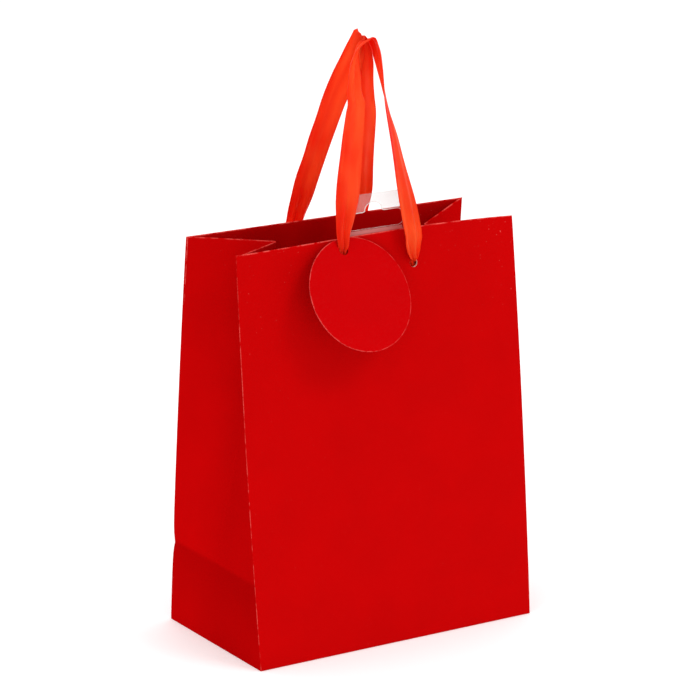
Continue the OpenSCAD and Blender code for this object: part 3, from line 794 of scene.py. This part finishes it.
def knot(name, point, x, material):
    """An overhand knot pulled tight behind the hole: a strand that follows a trefoil."""
    turns = np.linspace(0, 2 * math.pi, 97)[:-1]
    lobe = 2 + np.cos(3 * turns)
    trefoil = [lobe * np.cos(2 * turns), lobe * np.sin(2 * turns), 1.1 * np.sin(3 * turns)]
    line = np.stack(trefoil, -1) * KNOT_SIZE
    along = unit(np.roll(line, -1, 0) - np.roll(line, 1, 0))
    across = unit(np.cross(along, [0, 0, 1.0]))
    normal = np.cross(along, across)
    sides = np.linspace(0, 2 * math.pi, 15)[:-1]
    # the strand is a slightly flat tube with lengthwise creases
    flat = across[:, None] * np.cos(sides)[None, :, None] * STRAND_R * 0.62
    deep = normal[:, None] * np.sin(sides)[None, :, None] * STRAND_R * 0.8
    crease = 1 + 0.12 * np.sin(5 * sides)[None, :, None]
    local = line[:, None] + (flat + deep) * crease
    centre = Vector(point(x, MOUTH_T + KNOT_IN, HOLE_S - KNOT_DROP))
    inward = (Vector(point(0, 1, 0)) - Vector(point(0, 0, 0))).normalized()
    upward = (Vector(point(0, 0, 1)) - Vector(point(0, 0, 0))).normalized()
    world = local.reshape(-1, 3) @ np.array([Vector((1, 0, 0)), upward, inward]) + np.array(centre)
    place = np.stack(np.broadcast_arrays(np.sin(sides)[None, :] * 4 * MM, turns[:, None] * 6 * MM, 0.0), -1)
    faces = ring_faces(len(turns), len(sides), closed=True)
    return add_mesh(name, world, faces, material, {"weave": place.reshape(-1, 3)})


def knot_tail(name, point, x, material):
    """The ribbon's cut tail, which spreads below the knot and away from the bag's middle."""
    flare = 1 if x > 0 else -1
    stations = [
        panel_station(point, x / MM + aside * flare, inside, s, angle, width)
        for aside, inside, s, angle, width in TAIL
    ]
    return ribbon(name, stations, material)[0]


# ---- Tag and hang tab ----------------------------------------------------------------------------
def tag_matrix():
    """The tag's frame: X and Y in its plane with the hole at the origin, and Z out from the bag."""
    turn = Matrix.Identity(4)
    for angle, axis in (
        (-FRONT_LEAN, "X"), (TAG_YAW, "Z"), (-TAG_LEAN, "X"), (-TAG_SWING, "Y"), (math.pi / 2, "X")
    ):
        turn = turn @ Matrix.Rotation(angle, 4, axis)
    return Matrix.Translation(Vector(front_point(*TAG_HOLE))) @ turn


def make_tag(material, rim_material):
    """A die-cut disc of red card, faintly curved, whose cut rim shows its core."""
    segments = 160
    bevel = 0.12 * MM
    rings = [TAG_R * share for share in np.linspace(0.04, 0.985, 26)]
    rim = [(TAG_R - bevel, TAG_T), (TAG_R, TAG_T - bevel), (TAG_R, bevel), (TAG_R - bevel, 0)]
    profile = [(r, TAG_T) for r in rings] + rim + [(r, 0) for r in rings[::-1]]
    points = []
    for radius, height in profile:
        for angle in np.linspace(0, 2 * math.pi, segments + 1)[:-1]:
            x, y = radius * math.cos(angle), radius * math.sin(angle) - TAG_HOLE_OFFSET
            curve = 0.5 * MM * (x / TAG_R) ** 2 + 0.25 * MM * math.sin(y * 60)
            points.append((x, y, height - curve))
    rows = len(profile)
    faces = ring_faces(rows, segments)
    faces.append(tuple(range(segments - 1, -1, -1)))
    faces.append(tuple((rows - 1) * segments + k for k in range(segments)))
    tag = add_mesh("round_tag", points, faces, material)
    tag.data.materials.append(rim_material)
    for face in tag.data.polygons:
        middle = Vector((face.center.x, face.center.y + TAG_HOLE_OFFSET))
        if middle.length > TAG_R - bevel / 2:
            face.material_index = 1
    punch(tag, (0, 0, TAG_T / 2), (0, 0, 1), TAG_HOLE_R, material)
    places = np.array([v.co for v in tag.data.vertices])
    from_rim = TAG_R + 0.05 * MM - np.hypot(places[:, 0], places[:, 1] + TAG_HOLE_OFFSET)
    far = np.ones(len(places))
    give(tag.data, "paper", places + [0, 1.3, 0])
    give(tag.data, "edges", np.stack([from_rim, far, far], -1))
    tag.data.transform(tag_matrix())
    sharpen(tag)
    return tag


def rounded(width, height, radius, centre):
    """Corner points of a rectangle with round corners, anticlockwise."""
    steps = 6
    points = []
    for k, (sx, sy) in enumerate(((1, 1), (-1, 1), (-1, -1), (1, -1))):
        cx, cy = centre[0] + sx * (width / 2 - radius), centre[1] + sy * (height / 2 - radius)
        for step in range(steps + 1):
            angle = math.pi / 2 * (k + step / steps)
            points.append((cx + radius * math.cos(angle), cy + radius * math.sin(angle)))
    return points


def slot_outline():
    """The hanging slot: a long slot with round ends and a round bump over its middle."""
    corners = rounded(SLOT_W, SLOT_H, SLOT_END_R, (0, SLOT_S))
    quarter = len(corners) // 4
    top = SLOT_S + SLOT_H / 2
    foot_w, foot_h = BUMP_FOOT
    bump = [(BUMP_R + foot_w, top)]
    for step in range(13):
        angle = math.pi * step / 12
        bump.append((BUMP_R * math.cos(angle), top + foot_h + (BUMP_H - foot_h) * math.sin(angle)))
    bump.append((-BUMP_R - foot_w, top))
    return corners[-quarter:] + corners[:quarter] + bump + corners[quarter:-quarter]


def curve_mesh(name, outlines, **settings):
    """A mesh made from closed outlines of x, y, z by a curve with the given settings."""
    data = bpy.data.curves.new(name, "CURVE")
    for key, value in settings.items():
        setattr(data, key, value)
    for outline in outlines:
        spline = data.splines.new("POLY")
        spline.points.add(len(outline) - 1)
        for point, place in zip(spline.points, outline):
            point.co = (*place, 1)
        spline.use_cyclic_u = True
    source = bpy.data.objects.new(name + "_outline", data)
    bpy.context.scene.collection.objects.link(source)
    graph = bpy.context.evaluated_depsgraph_get()
    mesh = bpy.data.meshes.new_from_object(source.evaluated_get(graph))
    bpy.data.objects.remove(source)
    mesh.name = name
    return mesh


def flat_piece(name, outlines, thickness, inside, material):
    """A thin flat piece in the front panel's plane, cut from the outlines of its edge and of any hole."""
    places = [[(x, y, 0) for x, y in outline] for outline in outlines]
    mesh = curve_mesh(name, places, dimensions="2D", fill_mode="BOTH", extrude=thickness / 2)
    turn = Matrix.Rotation(-FRONT_LEAN, 4, "X") @ Matrix.Rotation(math.pi / 2, 4, "X")
    mesh.transform(Matrix.Translation(Vector(front_point(TAB_X, inside, 0.0))) @ turn)
    mesh.materials.clear()
    mesh.materials.append(material)
    piece = bpy.data.objects.new(name, mesh)
    bpy.context.scene.collection.objects.link(piece)
    clean_mesh(piece)
    return piece


def add_rim(tab, outline, inside, material):
    """The die leaves a white, slightly raised rim round the slot."""
    places = [front_point(x + TAB_X, inside, s) for x, s in outline]
    mesh = curve_mesh("rim", [places], dimensions="3D", bevel_depth=RIM_R, bevel_resolution=2)
    tab.data.materials.append(material)
    both = bmesh.new()
    both.from_mesh(tab.data)
    old = set(both.faces)
    both.from_mesh(mesh)
    for face in both.faces:
        if face not in old:
            face.material_index = 1
            face.smooth = True
    both.to_mesh(tab.data)
    both.free()
    bpy.data.meshes.remove(mesh)


def clean_mesh(obj):
    """Joins doubled points and turns the faces outward."""
    mesh = bmesh.new()
    mesh.from_mesh(obj.data)
    bmesh.ops.remove_doubles(mesh, verts=mesh.verts, dist=1e-6)
    bmesh.ops.recalc_face_normals(mesh, faces=mesh.faces)
    mesh.to_mesh(obj.data)
    mesh.free()
    sharpen(obj, 30)


# ---- Build: camera, stage and paper --------------------------------------------------------------
make_camera()
make_stage()

core = core_look("paper_core", dark=(226, 190, 184), light=(250, 236, 230))
outer_paper = paper_look("red_paper", RED, PALE, top_wear=0.8, side_wear=0.95, scuffs=0.9)
gusset_paper = paper_look(
    "gusset_paper", GUSSET_RED, PALE, top_wear=0.5, side_wear=0.0, scuffs=0.25, on_gusset=True
)

front = panel_sheet(
    "front_panel_sheet", front_point, outer_paper, core,
    notched=False, arched=True, bulge=0.5 * MM, phase=0.3
)
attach(front, "front_side")
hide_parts("front_panel", "front_turn_top")

rear = panel_sheet(
    "rear_panel_sheet", rear_point, outer_paper, core,
    notched=True, arched=False, bulge=0.4 * MM, phase=2.1
)
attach(rear, "bag")
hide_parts("rear_panel", "rear_turn_top")

rear_top = rear_point(0.0, 0.0, BAG_H)
front_top = front_point(0.0, 0.0, BAG_H)
for side in ("left", "right"):
    gusset = gusset_sheet(f"{side}_gusset_sheet", side, gusset_paper)
    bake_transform(gusset)
    nodes = [f"{side}_gusset_{part}" for part in ("front_half", "rear_half", "triangle", "turn_top")]
    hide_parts(*nodes)

# ---- Build: ribbons and their knots --------------------------------------------------------------
satin = ribbon_look()
front_ribbon, front_length = handle_ribbon(
    "front_ribbon", front_point, FRONT_LEFT_END, FRONT_LOOP, FRONT_RIGHT_END, satin
)
rear_ribbon, rear_length = handle_ribbon(
    "rear_ribbon", rear_point, REAR_LEFT_END, REAR_LOOP, REAR_RIGHT_END, satin
)
for strip, length, point, where, handle, body in (
    (front_ribbon, front_length, front_point, "front", "front_handle", "front_side"),
    (rear_ribbon, rear_length, rear_point, "rear", "rear_handle", "bag"),
):
    for side, x in (("left", -HOLE_X), ("right", HOLE_X)):
        tied = knot(f"{where}_{side}_knot_tie", point, x, satin)
        tail = knot_tail(f"{where}_{side}_knot_tail", point, x, satin)
        for piece in (tied, tail):
            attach(piece, body)
        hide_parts(f"{where}_{side}_knot")
    bend = point(0.0, -BEND_OFF, BEND_S)
    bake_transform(strip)
    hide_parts(f"{where}_ribbon_handle", f"{where}_ribbon_left_end", f"{where}_ribbon_right_end")

# ---- Build: tag ----------------------------------------------------------------------------------
tag_paper = paper_look("tag_card", TAG_RED, TAG_PALE, top_wear=0.0, side_wear=0.6, scuffs=0.4)
tag_rim = core_look("tag_rim", dark=(216, 66, 64), light=(234, 98, 94))
tag = make_tag(tag_paper, tag_rim)
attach(tag, "tag")
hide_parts("gift_tag")

# ---- Build: hang tab and its adhesive ------------------------------------------------------------
film = film_look(
    "clear_film", (200, 180, 175), alpha=0.2, rough=0.3, shaded=0.15, shade_below=TAB_SHADE_TOP
)
film_rim = film_look(
    "clear_film_rim", (255, 250, 246), alpha=0.6, rough=0.3, shaded=0.2, shade_below=TAB_SHADE_TOP
)
tab_h = TAB_UP + TAB_DOWN
tab_outline = rounded(TAB_W, tab_h, TAB_CORNER_R, (0, BAG_H - TAB_DOWN + tab_h / 2))
tab = flat_piece("clear_hang_tab", [tab_outline, slot_outline()], TAB_T, TAB_IN, film)
add_rim(tab, slot_outline(), TAB_IN, film_rim)
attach(tab, "front_side")
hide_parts("hang_tab")

glue = film_look("clear_adhesive", (214, 130, 126), alpha=0.5, rough=0.5)
glue_outline = [
    (GLUE_LEFT, GLUE_LOW), (GLUE_RIGHT + GLUE_SLANT, GLUE_LOW),
    (GLUE_RIGHT, GLUE_TOP), (GLUE_LEFT, GLUE_TOP)
]
patch = flat_piece("clear_glue_patch", [glue_outline], GLUE_T, GLUE_IN, glue)
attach(patch, "front_side")
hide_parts("hang_tab_adhesive")

# ---- CAD parts that are seen as they are ---------------------------------------------------------
board = board_look("grey_board", dark=(168, 162, 152), light=(206, 202, 192))
brown = board_look("brown_card", dark=(150, 120, 90), light=(196, 170, 138))
# the flaps' meshes have no "paper" or "edges", so they show one plain red
inside_paper = paper_look("inside_paper", INSIDE_RED, PALE, top_wear=0.0, side_wear=0.0, scuffs=0.2)
for node, material in (
    ("base_board", board), ("front_reinforcement_card", brown), ("rear_reinforcement_card", brown),
    ("side_seam_flap", inside_paper), ("base_front_flap", inside_paper), ("base_rear_flap", inside_paper),
    ("base_left_flap", inside_paper), ("base_right_flap", inside_paper),
):
    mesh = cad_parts[node].data
    mesh.materials.clear()
    mesh.materials.append(material)
